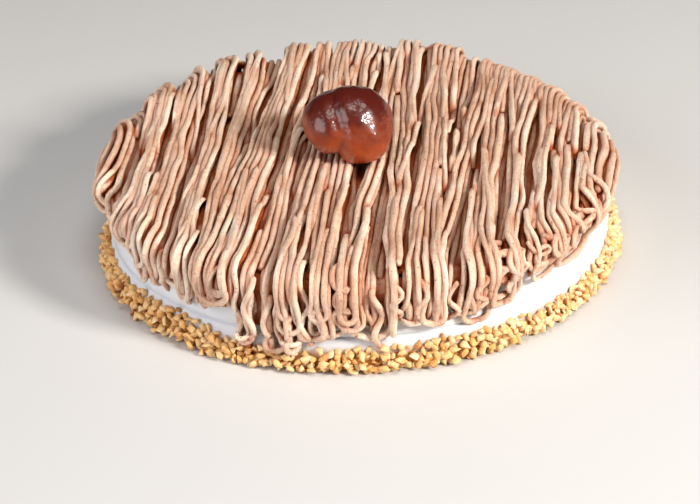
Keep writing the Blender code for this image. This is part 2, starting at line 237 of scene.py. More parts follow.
ramp = add_node(roasted_nut, "ShaderNodeValToRGB", [("Fac", mixed.outputs["Value"])])
ramp.color_ramp.elements[0].position = 0.15
ramp.color_ramp.elements[0].color = linear("#F0D9B4")
ramp.color_ramp.elements[1].position = 1.0
ramp.color_ramp.elements[1].color = linear("#A25E2A")
for position, hex_colour in ((0.4, "#EBC690"), (0.7, "#E2AC66")):
    ramp.color_ramp.elements.new(position).color = linear(hex_colour)
grain = add_node(roasted_nut, "ShaderNodeTexNoise", [("Vector", place.outputs["Object"])],
                 Scale=1 / (0.35 * MM), Detail=2.0)
bump = add_node(roasted_nut, "ShaderNodeBump", [("Height", grain.outputs["Fac"])],
                Strength=0.25, Distance=0.15 * MM)
feed(roasted_nut, shader, Base_Color=ramp.outputs["Color"], Normal=bump.outputs["Normal"])

rng = np.random.default_rng(21)
nut_kinds = [chopped_nut(rng) for _ in range(NUT_KINDS)]
nut_points, nut_faces, nut_tones = [], [], []
nut_count = 0
girth = 2 * math.pi * NUT_CIRCLE * MM
for tries, spacing, highest, out in NUT_LAYERS:
    spots = np.zeros((0, 2))
    for _ in range(tries):
        azimuth = rng.uniform(-180.0, 180.0)
        raised = np.interp(azimuth, [a for a, _ in NUT_EDGE], [h for _, h in NUT_EDGE])
        top = (highest + raised * highest / 10 + rng.normal(0.0, 0.5)) * MM
        height = rng.uniform(1.4 * MM, max(top, 2.2 * MM))
        reach = girth * azimuth / 360
        away = np.abs(spots[:, 0] - reach)
        away = np.minimum(away, girth - away)
        if len(spots) and np.hypot(away, spots[:, 1] - height).min() < spacing * MM:
            continue
        spots = np.vstack([spots, (reach, height)])
        points, faces = nut_kinds[rng.integers(NUT_KINDS)]
        size = rng.uniform(2.4, 3.5) * MM
        shape = np.array([size, size * rng.uniform(0.7, 0.95), size * rng.uniform(0.55, 0.8)])
        spin = Matrix.Rotation(rng.uniform(0, 6.28), 3, Vector(rng.normal(size=3)))
        chunk = (points * shape) @ np.array(spin).T
        height = max(height, 0.05 * MM - chunk[:, 2].min())
        radius = wall_radius(height) + (out + rng.uniform(-0.3, 0.5)) * MM
        turn = math.radians(azimuth)
        chunk = chunk + (radius * math.sin(turn), -radius * math.cos(turn), height)
        nut_faces.append(faces + nut_count)
        nut_points.append(chunk)
        nut_count += len(chunk)
        left = 0.5 - 0.5 * math.sin(turn)  # painted shade: the nuts on the left, away from the key light, are painted darker
        toast_and_shade = 0.12 + 0.24 * left + rng.normal(0.0, 0.12) + 0.35 * (rng.random() < 0.05)
        nut_tones += [max(toast_and_shade, 0.0)] * len(chunk)
chopped_nuts = new_piece("chopped_nuts", np.concatenate(nut_points), np.concatenate(nut_faces),
                         roasted_nut)
tones = chopped_nuts.data.attributes.new("tone", "FLOAT", "POINT")
tones.data.foreach_set("value", nut_tones)
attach(chopped_nuts, "root")


# Chestnut cream bed: the first strands, pressed together under the others into one sheet of the
# same paste. It is seen only at the bottom of the grooves, and it ends above the hanging loops.
FRINGE = (  # azimuth in degrees from the front, growing to the right, and the lowest strand there
    (-180, 21), (-155, 26), (-135, 18), (-112, 24), (-90, 30), (-66, 29), (-61, 21), (-53, 20),
    (-47, 18.5), (-40, 21), (-36, 20.5), (-29, 26), (-26.5, 10), (-21.5, 9), (-17.6, 8.5),
    (-15.4, 10), (-12, 11), (-7, 14), (-4, 18), (1.5, 12), (2.7, 10.5), (7.3, 15), (11.5, 20),
    (20, 17.4), (26, 21), (34.5, 21), (38, 25), (44, 28.5), (50, 27), (56, 30), (67, 29),
    (90, 30), (108, 22), (128, 27), (150, 17), (165, 25), (180, 21),
)
SHOULDER_BEND = SHOULDER + 3.6 * MM  # radius at which lines on the piping turn over the edge
WALL_START = FLAT_RADIUS + 0.5 * math.pi * SHOULDER_BEND


def arc_at(height):
    """Distance from the middle of the top, over the shoulder, to a height on the wall."""
    return WALL_START + CREAM_TOP - SHOULDER - height


def on_cream(plan, lift):
    """Points a lift above the cream, for points on the cream unrolled flat round its middle."""
    plan = np.asarray(plan, float)
    arc = np.maximum(np.hypot(plan[:, 0], plan[:, 1]), 1e-9)
    outward = plan / arc[:, None]
    angle = np.clip((arc - FLAT_RADIUS) / SHOULDER_BEND, 0.0, 0.5 * math.pi)
    radius = np.minimum(arc, FLAT_RADIUS) + (SHOULDER + lift) * np.sin(angle)
    height = CREAM_TOP - SHOULDER + (SHOULDER + lift) * np.cos(angle)
    below = np.maximum(arc - WALL_START, 0.0)
    height = height - below
    radius = np.where(below > 0, wall_radius(height) + lift, radius)
    return np.column_stack([outward * radius[:, None], height])


def fringe_height(plan):
    """Height of the lowest strands below a point of the unrolled cream."""
    azimuth = math.degrees(math.atan2(plan[0], -plan[1]))
    return float(np.interp(azimuth, [a for a, _ in FRINGE], [h for _, h in FRINGE])) * MM


PILE = (  # azimuth and how much higher or lower the piping is along the edge there, in mm
    (-180, 2.2), (-172, 1.4), (-165, 2.6), (-157, 2.0), (-150, 2.4), (-141, 4.0), (-133, 1.4),
    (-125, 3.4), (-119, 4.4), (-110, 0.4), (-95, -0.8), (-60, 0.5), (0, 0.8), (60, 0.2),
    (90, -1.6), (108, -2.8), (127, -3.4), (140, -3.2), (149, 0.2), (156, 1.8), (166, 1.8),
    (173, 1.0), (180, 2.2),
)


def piled(plan):
    """How much the piping rises near the edge, where the nozzle turned back each time."""
    plan = np.asarray(plan, float)
    arc = np.hypot(plan[..., 0], plan[..., 1])
    azimuth = np.degrees(np.arctan2(plan[..., 0], -plan[..., 1]))
    most = np.interp(azimuth, [a for a, _ in PILE], [h for _, h in PILE]) * MM
    rise = np.clip((arc - 78 * MM) / (22 * MM), 0.0, 1.0)
    fall = np.clip((WALL_START + 5 * MM - arc) / (11 * MM), 0.0, 1.0)
    return most * rise * rise * (3 - 2 * rise) * fall * fall * (3 - 2 * fall)


# Chestnut paste, piped: ground chestnut with butter and milk, matt, with a fine sandy grain and
# small pits where the paste tore. A little light goes in, which keeps the shadows warm. Its tone
# drifts along the strands. Deep in the grooves it is painted darker and redder, a painted shade:
# each point keeps how deep it lies under the paste around it. The nozzle left fine streaks along
# the strands. A grain of 0.7 mm stands in for the real one of 0.1 to 0.2 mm, too fine to show.
LEAN = math.radians(7.0)  # of the strands, from +Y to the right
chestnut_paste, shader = new_material(
    "chestnut_paste_piped", Roughness=0.58, IOR=1.46, Specular_IOR_Level=0.32,
    Subsurface_Weight=0.12, Subsurface_Scale=1.4 * MM, Subsurface_Radius=(1.0, 0.45, 0.25))
place = add_node(chestnut_paste, "ShaderNodeTexCoord")
drift = add_node(chestnut_paste, "ShaderNodeTexNoise", [("Vector", place.outputs["Object"])],
                 Scale=1 / (22 * MM), Detail=3.0, Roughness=0.6)
grain = add_node(chestnut_paste, "ShaderNodeTexNoise", [("Vector", place.outputs["Object"])],
                 Scale=1 / (0.7 * MM), Detail=3.0, Roughness=0.65)
paste_tone = add_node(chestnut_paste, "ShaderNodeMath",
                      [(0, grain.outputs["Fac"]), (2, drift.outputs["Fac"])],
                      operation="MULTIPLY_ADD")
paste_tone.inputs[1].default_value = 0.35
ramp = add_node(chestnut_paste, "ShaderNodeValToRGB", [("Fac", paste_tone.outputs["Value"])])
ramp.color_ramp.elements[0].position = 0.45
ramp.color_ramp.elements[0].color = linear("#E5BD9D")
ramp.color_ramp.elements[1].position = 0.95
ramp.color_ramp.elements[1].color = linear("#FFF3E2")
ramp.color_ramp.elements.new(0.68).color = linear("#FAE0C6")
pits = add_node(chestnut_paste, "ShaderNodeTexNoise", [("Vector", place.outputs["Object"])],
                Scale=1 / (1.7 * MM), Detail=4.0, Roughness=0.75)
torn = add_node(chestnut_paste, "ShaderNodeMapRange", [("Value", pits.outputs["Fac"])],
                From_Min=0.40, From_Max=0.31)
# Darker, by #9A7460, where the pit noise is lowest, in the pits of the bump.
darker_in_pits = add_node(chestnut_paste, "ShaderNodeMix",
                   [("Factor", torn.outputs["Result"]), ("A", ramp.outputs["Color"])],
                   data_type="RGBA", blend_type="MULTIPLY", B=linear("#9A7460"))
# Painted shade: by the kept depth the grooves are tinted darker and redder, #B86632, standing in for
# the shade and the warm bounced light there.
groove_shade = add_node(chestnut_paste, "ShaderNodeAttribute", attribute_name="groove_shade")
shaded_grooves = add_node(chestnut_paste, "ShaderNodeMix",
                 [("Factor", groove_shade.outputs["Fac"]), ("A", darker_in_pits.outputs["Result"])],
                 data_type="RGBA", blend_type="MULTIPLY", B=linear("#B86632"))
pit_bump = add_node(chestnut_paste, "ShaderNodeBump", [("Height", pits.outputs["Fac"])],
                    Strength=1.0, Distance=1.1 * MM)
grain_bump = add_node(chestnut_paste, "ShaderNodeBump",
                      [("Height", grain.outputs["Fac"]), ("Normal", pit_bump.outputs["Normal"])],
                      Strength=0.8, Distance=0.4 * MM)
along = add_node(chestnut_paste, "ShaderNodeMapping", [("Vector", place.outputs["Object"])],
                 Rotation=(0.0, 0.0, LEAN), Scale=(1.0, 0.09, 0.14))
streaks = add_node(chestnut_paste, "ShaderNodeTexNoise", [("Vector", along.outputs["Vector"])],
                   Scale=1 / (0.9 * MM), Detail=2.0, Roughness=0.6)
streak_bump = add_node(chestnut_paste, "ShaderNodeBump",
                       [("Height", streaks.outputs["Fac"]), ("Normal", grain_bump.outputs["Normal"])],
                       Strength=0.9, Distance=0.8 * MM)
feed(chestnut_paste, shader, Base_Color=shaded_grooves.outputs["Result"],
     Normal=streak_bump.outputs["Normal"])

BED_SIDES = 240
BED_UNDERSIDE = 0.2 * MM
BED_THICK = 0.6 * MM
BED_INNER = FLAT_RADIUS - 30 * MM  # inside this the bed is level and needs few rows
HEM_ABOVE_FRINGE = 8 * MM
HEM_HIGHEST = 31 * MM
bed_turns = np.linspace(0, 2 * math.pi, BED_SIDES, endpoint=False)
ways = np.column_stack([np.sin(bed_turns), -np.cos(bed_turns)])
hem = np.array([arc_at(min(fringe_height(w) + HEM_ABOVE_FRINGE, HEM_HIGHEST)) for w in ways])
hem += 1.2 * MM * np.array([smooth_noise(Vector((w[0] * 9, w[1] * 9, 5.0))) for w in ways])
bed_rows = [on_cream(spots, BED_UNDERSIDE)
            for spots in (ways * BED_INNER, ways * WALL_START, ways * hem[:, None])]
outside = [ways * (WALL_START + share * (hem - WALL_START))[:, None]
           for share in (1.0, 0.75, 0.5, 0.25)]
outside += [ways * arc
            for arc in (*np.arange(WALL_START, BED_INNER, -1.5 * MM), 50 * MM, 4 * MM)]
bed_rows += [on_cream(spots, BED_THICK + np.maximum(piled(spots), 0.0)) for spots in outside]
bed_points = np.concatenate(bed_rows)
bed_faces = [tuple(f) for f in grid_faces(len(bed_rows), len(ways), True)]
bed_faces.append(tuple(range((len(bed_rows) - 1) * len(ways), len(bed_rows) * len(ways))))
paste_bed = new_piece("paste_bed", bed_points, bed_faces, chestnut_paste)
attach(paste_bed, "root")


# Strands of chestnut cream: noodles of paste about 3 mm thick, pressed through a nozzle with
# several holes, back and forth over the cake. At the edge each strand drops, hangs in a loop
# and comes back up. A strand rests on what was laid before it and melts into it a little, so
# a map of the height laid so far, on the unrolled cream, carries each one.
STRAND_RADIUS = 1.45 * MM
CELL = 0.5 * MM
MAP_HALF = 160 * MM
MAP_SIZE = int(2 * MAP_HALF / CELL)
BRIDGED = 0.9 * MM  # how far above a hollow a strand may bridge it
BRIDGE_REACH = 3  # mm
TOP_CEILING = 7.0 * MM  # above these lifts the strands press each other down
SIDE_CEILING = 4.7 * MM
PRESSED = 0.35  # share that is left of what rises above a ceiling
TUCK_LENGTH = 7.0  # mm
RING_TURN = 0.42  # radians that a strand turns at most between two rings of its mesh
RIDGES, LUMPS = 0.07, 0.025  # as shares of a strand's radius
SHADE_START_DEPTH = -1.5 * MM  # painted shade starts on paste deeper than this under its surroundings
SHADE_DEPTH_RANGE = 3.2 * MM
HALF_SWAY = 200  # steps of 1 mm each way from the middle of a strand's pass
grid_line = (np.arange(MAP_SIZE) + 0.5) * CELL - MAP_HALF
map_spots = np.stack(np.meshgrid(grid_line, grid_line, indexing="ij"), -1)
map_arcs = np.hypot(map_spots[..., 0], map_spots[..., 1])
laid = BED_THICK + np.maximum(piled(map_spots), 0.0)
laid[map_arcs > arc_at(10.5 * MM)] = 2.3 * MM  # the nuts


def wave(rng, length, count, spacing):
    """Smooth random values between about -1 and 1 along a line, with bumps of about a length."""
    steps = max(int(count * spacing / length) + 4, 4)
    knots = rng.normal(0.0, 0.6, steps)
    at = np.arange(count) * spacing / length + rng.uniform(0, 1)
    low = at.astype(int) % (steps - 1)
    share = at - at.astype(int)
    share = share * share * (3 - 2 * share)
    return knots[low] * (1 - share) + knots[low + 1] * share


def smoothed(values, width):
    """A running average, kept to the ends."""
    reach = max(int(width), 1)
    kernel = np.hanning(2 * reach + 3)[1:-1]
    kernel /= kernel.sum()
    padded = np.pad(values, reach, mode="edge")
    return np.convolve(padded, kernel, mode="valid")


def evened(path, spacing):
    """The same line with evenly spaced points."""
    steps = np.hypot(*np.diff(path, axis=0).T)
    along = np.concatenate([[0.0], np.cumsum(steps)])
    count = max(int(along[-1] / spacing), 2)
    at = np.linspace(0.0, along[-1], count + 1)
    return np.column_stack([np.interp(at, along, path[:, 0]), np.interp(at, along, path[:, 1])])


def rest_on_laid(path, radius, sink):
    """How high a strand lies above the cream, and adds it to the map of what is laid."""
    ahead = np.gradient(path, axis=0)
    ahead /= np.maximum(np.linalg.norm(ahead, axis=1), 1e-12)[:, None]
    side = np.column_stack([-ahead[:, 1], ahead[:, 0]])
    below = np.zeros(len(path))
    for share in (-0.5, 0.0, 0.5):
        cells = ((path + side * (radius * share)[:, None] + MAP_HALF) / CELL).astype(int)
        cells = np.clip(cells, 0, MAP_SIZE - 1)
        below = np.maximum(below, laid[cells[:, 0], cells[:, 1]])
    padded = np.pad(below, BRIDGE_REACH, mode="edge")
    bridged = np.max([padded[i:i + len(below)] for i in range(2 * BRIDGE_REACH + 1)], axis=0)
    bridged = smoothed(np.minimum(bridged, below + BRIDGED), 5)
    lift = bridged + radius * (1 - sink)
    on_side = np.hypot(path[:, 0], path[:, 1]) > WALL_START
    ceiling = smoothed(np.where(on_side, SIDE_CEILING, TOP_CEILING), 5) + piled(path)
    lift = np.where(lift > ceiling, ceiling + PRESSED * (lift - ceiling), lift)
    reach = int(1.25 * radius.max() / CELL) + 1
    for i in range(-reach, reach + 1):
        for j in range(-reach, reach + 1):
            cells = np.clip(((path + MAP_HALF) / CELL).astype(int) + (i, j), 0, MAP_SIZE - 1)
            middle = (cells + 0.5) * CELL - MAP_HALF
            away = np.hypot(*(middle - path).T)
            top = np.where(away < radius, lift + np.sqrt(np.maximum(radius ** 2 - away ** 2, 0)), 0)
            np.maximum.at(laid, (cells[:, 0], cells[:, 1]), top)
    return lift


def drop(start, ahead, stop_arc):
    """A line that leaves the top, turns straight down the side and ends at a distance."""
    points = [start]
    while np.hypot(*points[-1]) < stop_arc:
        down = points[-1] / np.hypot(*points[-1])
        ahead = 0.91 * ahead + 0.09 * down
        ahead = ahead / np.hypot(*ahead)
        points.append(points[-1] + ahead * MM)
    return points


def lane(across, sway, lean, way):
    """A strand's line over the top, from the middle of its pass to where it starts to drop."""
    side = np.array([math.cos(lean), -math.sin(lean)])
    ahead = np.array([math.sin(lean), math.cos(lean)])
    edge = max(FLAT_RADIUS - 1 * MM, abs(across) + 3 * MM)
    points = []
    for i in range(HALF_SWAY):
        along = way * i * MM
        points.append(side * (across + sway[HALF_SWAY + way * i]) + ahead * along)
        if np.hypot(*points[-1]) > edge and i > 3:
            break
    return points


def heading(points):
    ahead = points[-1] - points[-3]
    return ahead / np.hypot(*ahead)


def hanging_loop(first, second, low, spread):
    """The line of a loop between two strands that reach the edge: down, round and up again."""
    middle = 0.5 * (first[-1] + second[-1])
    scale = np.hypot(*middle) / wall_radius(20 * MM)
    width = np.hypot(*(second[-1] - first[-1])) / scale
    belly = float(np.clip(0.55 * width, 1.6 * MM, 7 * MM))
    stop_arc = max(arc_at(low + belly), np.hypot(*middle) + 1 * MM)
    left = np.array(drop(first[-1], heading(first), stop_arc))
    right = np.array(drop(second[-1], heading(second), stop_arc))
    half = 0.5 * (right[-1] - left[-1])
    wide = max(np.hypot(*half), 1.2 * MM)
    half = half / max(np.hypot(*half), 1e-9)
    for leg, way in ((left, -1), (right, 1)):
        share = np.clip(1 - (len(leg) - 1 - np.arange(len(leg))) / 9.0, 0.0, 1.0)
        share = share * share * (3 - 2 * share)
        leg += np.outer(share, half) * way * spread
    centre, half = 0.5 * (left[-1] + right[-1]), 0.5 * (right[-1] - left[-1])
    if np.hypot(*half) < wide:
        half = half / max(np.hypot(*half), 1e-9) * wide
    down = centre / np.hypot(*centre)
    steps = max(int(math.pi * max(np.hypot(*half), belly) / MM), 8)
    turn = np.linspace(0.0, math.pi, steps)[1:-1]
    bend = centre - np.outer(np.cos(turn), half) + np.outer(np.sin(turn), down * belly)
    return list(left[1:]) + list(bend) + list(right[::-1][:-1])


def wobbled(rng, path, size, length):
    """Hanging strands sway from side to side, more the lower they hang."""
    arc = np.hypot(path[:, 0], path[:, 1])
    hang = np.clip((arc - FLAT_RADIUS - 4 * MM) / (18 * MM), 0.0, 1.0)
    around_side = np.column_stack([-path[:, 1], path[:, 0]]) / np.maximum(arc, 1e-9)[:, None]
    sway = wave(rng, length, len(path), MM) * size * hang
    return path + around_side * sway[:, None]


strand_tubes = {"lower": [], "middle": [], "upper": []}


def pipe(rng, layer, path, radius_scale=1.0, sink=0.3, tucked=0.0):
    """Lays one strand along a plan line and keeps it for the mesh. Its ends may be tucked in."""
    path = evened(np.asarray(path, float), MM)
    count = len(path)
    radius = STRAND_RADIUS * radius_scale * (
        1 + 0.13 * wave(rng, 24 * MM, count, MM) + 0.07 * wave(rng, 5 * MM, count, MM))
    lift = rest_on_laid(path, radius, sink)
    from_end = np.minimum(np.arange(count), np.arange(count)[::-1])
    lift = lift - tucked * np.clip(1 - from_end / TUCK_LENGTH, 0.0, 1.0)
    strand_tubes[layer].append((path, lift, radius))


def nozzle_passes(rng, holes, pitch, gap, span, lean_spread, wander):
    """The nozzle's passes from left to right: place, count of strands, lean, sway and fan. The
    strands of a pass fan out and close up again along its way."""
    passes = []
    left = span[0]
    while left < span[1]:
        count = int(rng.choice(holes))
        lean = LEAN + math.radians(rng.normal(0.0, lean_spread))
        sway = wave(rng, 55 * MM, 2 * HALF_SWAY, MM)
        sway = wander * (sway + 0.4 * wave(rng, 20 * MM, 2 * HALF_SWAY, MM))
        fan = 0.3 * wave(rng, 42 * MM, 2 * HALF_SWAY, MM)
        passes.append((left + 0.5 * (count - 1) * pitch, count, lean, sway, fan))
        left += count * pitch + rng.uniform(*gap)
    return passes


def strands_of(rng, passes, pitch, narrower=0, skipped=0.0):
    """A layer of strands along the passes, from left to right; a narrower layer lies on top."""
    strands = []
    for middle, count, lean, sway, fan in passes:
        if rng.random() < skipped:
            continue
        count = max(count - int(rng.integers(0, narrower + 1)), 1)
        aside = rng.uniform(-0.4, 0.4) * pitch * narrower
        for i in range(count):
            own = 0.45 * MM * wave(rng, 16 * MM, 2 * HALF_SWAY, MM)
            offset = aside + (i - 0.5 * (count - 1)) * pitch * rng.uniform(0.96, 1.04)
            strands.append((middle + offset, sway + own + fan * offset, lean))
    return strands


def partners(rng, places, first):
    """Which strands hang in one loop at an edge: neighbours, or pairs nested in pairs. Few loops
    cross the gap between two passes."""
    found = {}
    i = first
    while i < len(places) - 1:
        deep = int(rng.choice([1, 2, 3], p=[0.8, 0.16, 0.04]))
        width = places[min(i + 2 * deep - 1, len(places) - 1)] - places[i]
        too_wide = width > (2.2 * deep * STRAND_RADIUS + 2.6 * MM) * deep ** 0.5
        if i + 2 * deep > len(places) or rng.random() < (0.8 if too_wide else 0.05):
            i += 1
            continue
        for level in range(deep):
            outer, inner = i + level, i + 2 * deep - 1 - level
            found[outer] = (inner, deep - level)
            found[inner] = (outer, deep - level)
        i += 2 * deep
    return found


def piped_layer(rng, layer, strands, shorter, sink, broken):
    """Lays the strands of a layer, joined at the front and the back edge in hanging loops."""
    places = [strand[0] for strand in strands]
    joined = {-1: partners(rng, places, 0), 1: partners(rng, places, 1)}
    halves = {(i, way): lane(*strand, way) for i, strand in enumerate(strands) for way in (-1, 1)}
    left = set(range(len(strands)))
    while left:
        start = min(left)
        way = 1
        for i, toward in ((start, 1), (start, -1)):
            if i not in joined[toward]:
                way = -toward
        path = []
        if start not in joined[-way]:
            low = fringe_height(halves[start, -way][-1]) + shorter + rng.uniform(0, 5) * MM
            tip = drop(halves[start, -way][-1], heading(halves[start, -way]), arc_at(low))
            path = tip[::-1][:-1]
        i = start
        while i in left:
            left.discard(i)
            path += halves[i, -way][::-1] + halves[i, way][1:]
            partner, level = joined[way].get(i, (None, 0))
            if partner is None or partner not in left:
                low = fringe_height(halves[i, way][-1]) + shorter + rng.uniform(0, 5) * MM
                path += drop(halves[i, way][-1], heading(halves[i, way]), arc_at(low))[1:]
                break
            edge = 0.5 * (halves[i, way][-1] + halves[partner, way][-1])
            low = fringe_height(edge) + shorter + rng.uniform(-0.5, 6.5) * MM
            # In a nest of loops the inner ones hang less low.
            low += {1: 2.5, 2: 1.0, 3: 0.0}[level] * MM if abs(partner - i) > 1 else 0.0
            spread = rng.uniform(0.0, 1.8) * MM if abs(partner - i) == 1 else 0.3 * MM
            path += hanging_loop(halves[i, way], halves[partner, way], max(low, 8 * MM), spread)
            i, way = partner, -way
        path = evened(np.array(path), MM)
        path = wobbled(rng, path, rng.uniform(1.0, 3.6) * MM, rng.uniform(7, 12) * MM)
        # Long strands tore here and there, which leaves gaps of a few millimetres.
        pieces = [path]
        while len(pieces[-1]) > 150 and rng.random() < broken:
            cut = int(rng.uniform(60, min(len(pieces[-1]) - 40, 500)))
            gap = int(rng.uniform(2, 6))
            pieces[-1:] = [pieces[-1][:cut], pieces[-1][cut + gap:]]
        for piece in pieces:
            pipe(rng, layer, piece, rng.uniform(0.86, 1.08), sink, tucked=0.8 * MM)


def over_loop(rng, layer, azimuth, width, low, sway):
    """A loop that hangs over the others at the edge, its ends tucked between the strands."""
    facing = np.array([math.sin(azimuth), -math.cos(azimuth)])
    way = -1 if facing[1] < 0 else 1
    halves = []
    for side in (-0.5, 0.5):
        lean = LEAN + math.radians(rng.normal(0.0, 2.5))
        across = FLAT_RADIUS * (facing[0] * math.cos(lean) - facing[1] * math.sin(lean))
        own = 0.9 * MM * wave(rng, 22 * MM, 2 * HALF_SWAY, MM)
        run = lane(across + side * width, own, lean, way)
        halves.append(run[-int(rng.uniform(12, 95)):])
    path = halves[0] + hanging_loop(*halves, low, rng.uniform(0.3, 2.0) * MM)
    path = evened(np.array(path + halves[1][::-1]), MM)
    path = wobbled(rng, path, sway, rng.uniform(8, 13) * MM)
    pipe(rng, layer, path, rng.uniform(0.8, 1.0), sink=0.42, tucked=2.6 * MM)


def strays(rng, count, layer):
    """Single strands that leave their pass, cross the next one at a slant and end torn off."""
    for _ in range(count):
        lean = LEAN + math.radians(rng.normal(0.0, 3.0))
        side = np.array([math.cos(lean), -math.sin(lean)])
        ahead = np.array([math.sin(lean), math.cos(lean)])
        along = rng.uniform(-95, 55) * MM + np.arange(int(rng.uniform(30, 130))) * MM
        across = rng.uniform(-92, 92) * MM + 1.2 * MM * wave(rng, 24 * MM, len(along), MM)
        path = np.outer(across, side) + np.outer(along, ahead)
        path = path[np.hypot(path[:, 0], path[:, 1]) < FLAT_RADIUS - 3 * MM]
        if len(path) > 20:
            pipe(rng, layer, path, rng.uniform(0.75, 0.95), sink=0.45, tucked=2.4 * MM)


CLEAR_LOOPS = (  # azimuth, width and lowest point of the loops that stand out most, in mm
    (-59, 7, 27), (-33.5, 9, 27), (-32, 4, 33), (-15.6, 7, 19.5), (-9, 5, 26), (-2.7, 5, 25),
    (26, 7, 15.5), (32.6, 7, 20.5), (44.3, 9, 24), (55.3, 11, 23.5), (150, 8, 24), (-152, 9, 22),
)
TANGLES = (  # azimuth, height where it starts, width, length, curls, and how round they are
    (-47, 40, 4, 20, 1.2, 0.0), (-31, 43, 5, 17, 1.0, 0.9), (-24, 40, 4, 27, 1.3, 0.0),
    (-20, 34, 4, 24, 1.1, 0.1), (-16, 32, 5, 9, 1.1, 0.9), (-12, 38, 4, 25, 1.4, 0.0),
    (-9, 33, 6, 9, 1.3, 0.8), (-4, 46, 7, 21, 2.7, 0.6), (3, 38, 4, 27, 1.4, 0.0),
    (7, 40, 5, 15, 1.6, 0.3), (12, 40, 4, 19, 1.2, 0.1), (19, 36, 5, 17, 1.4, 0.2),
    (25, 37, 6, 17, 1.8, 0.3), (31, 45, 8, 11, 2.6, 0.35), (33, 43, 6, 17, 1.9, 0.3),
    (36, 43, 5, 11, 2.1, 0.4), (40, 41, 7, 12, 2.3, 0.5), (45, 42, 7, 12, 2.2, 0.4),
    (48, 40, 5, 11, 1.6, 0.3), (51, 39, 7, 12, 1.6, 0.4), (56, 41, 7, 11, 2.1, 0.5),
    (62, 41, 6, 12, 1.6, 0.3), (105, 41, 7, 9, 2.2, 0.6),
    (138, 43, 6, 15, 2.3, 0.6), (160, 44, 5, 19, 2.0, 0.2), (-171, 41, 6, 13, 2.0, 0.7),
    (-150, 43, 7, 9, 2.2, 0.9), (-118, 42, 5, 15, 1.6, 0.2),
)


def tangle(rng, layer, azimuth, start, width, length, curls, roundness):
    """A strand that came out faster than the nozzle moved, and bends or curls on its way down."""
    turn = math.radians(azimuth)
    facing = np.array([math.sin(turn), -math.cos(turn)])
    side = np.array([math.cos(turn), math.sin(turn)])
    around = np.linspace(0.0, 2 * math.pi * curls, int(3 * width * curls + length))
    phase = rng.uniform(0.0, 6.28)
    uneven = 1 + 0.25 * wave(rng, 10, len(around), 1)
    across = 0.5 * width * np.sin(around + phase) * uneven
    down = length * around / around[-1] + 0.5 * width * roundness * np.cos(around + phase) * uneven
    path = np.outer(arc_at(start * MM) + down * MM, facing) + np.outer(across * MM, side)
    pipe(rng, layer, path, rng.uniform(0.82, 0.98), sink=0.35, tucked=1.6 * MM)


LOWER_PITCH = 2.95 * MM
UPPER_PITCH = 2.75 * MM
OVER_LOOPS = 44
STRAYS = 18
rng = np.random.default_rng(4)
under = nozzle_passes(rng, holes=(4, 5, 6), pitch=LOWER_PITCH, gap=(0.1 * MM, 1.2 * MM),
                      span=(-114 * MM, 109 * MM), lean_spread=0.7, wander=0.8 * MM)
piped_layer(rng, "lower", strands_of(rng, under, LOWER_PITCH),
            shorter=4.0 * MM, sink=0.35, broken=0.0)
passes = nozzle_passes(rng, holes=(3, 4, 4, 5), pitch=UPPER_PITCH, gap=(1.6 * MM, 4.6 * MM),
                       span=(-112 * MM, 106 * MM), lean_spread=1.5, wander=1.9 * MM)
piped_layer(rng, "middle", strands_of(rng, passes, UPPER_PITCH),
            shorter=1.0 * MM, sink=0.3, broken=0.15)
piped_layer(rng, "upper", strands_of(rng, passes, UPPER_PITCH, narrower=1, skipped=0.12),
            shorter=0.5 * MM, sink=0.3, broken=0.3)
for i in range(OVER_LOOPS):
    azimuth = 2 * math.pi * (i + rng.uniform(-0.4, 0.4)) / OVER_LOOPS
    low = fringe_height((math.sin(azimuth), -math.cos(azimuth))) + rng.uniform(0.0, 8.0) * MM
    width = rng.choice([3.0, 4.2, 6.5, 10.0], p=[0.38, 0.35, 0.2, 0.07]) * MM
    if abs(math.sin(azimuth)) < 0.93:
        over_loop(rng, "upper", azimuth, width, low, rng.uniform(1.0, 2.8) * MM)
strays(rng, STRAYS, "upper")
for bend in TANGLES:
    tangle(rng, "upper", *bend)
for azimuth, width, low in CLEAR_LOOPS:
    over_loop(rng, "upper", math.radians(azimuth), width * MM, low * MM, 1.0 * MM)


def mark_groove_shade(piece):
    """Keeps on each point how deep it lies under the paste around it, from 0 to 1: how much painted
    shade it gets.
    """
    points = np.empty(3 * len(piece.data.vertices))
    piece.data.vertices.foreach_get("co", points)
    points = points.reshape(-1, 3)
    radius = np.maximum(np.hypot(points[:, 0], points[:, 1]), 1e-9)
    out = radius - FLAT_RADIUS
    up = points[:, 2] - (CREAM_TOP - SHOULDER)
    arc = FLAT_RADIUS + np.arctan2(out, np.maximum(up, 1e-9)) * SHOULDER_BEND
    arc = np.where(out < 0, radius, np.where(up < 0, WALL_START - up, arc))
    lift = np.where(out < 0, up - SHOULDER, np.where(
        up < 0, radius - wall_radius(points[:, 2]), np.hypot(out, up) - SHOULDER))
    plan = points[:, :2] * (arc / radius)[:, None]
    cells = np.clip(((plan + MAP_HALF) / CELL).astype(int), 0, MAP_SIZE - 1)
    depth = laid_around[cells[:, 0], cells[:, 1]] - lift
    kept = piece.data.attributes.new("groove_shade", "FLOAT", "POINT")
    kept.data.foreach_set("value", np.clip((depth - SHADE_START_DEPTH) / SHADE_DEPTH_RANGE, 0.0, 1.0))


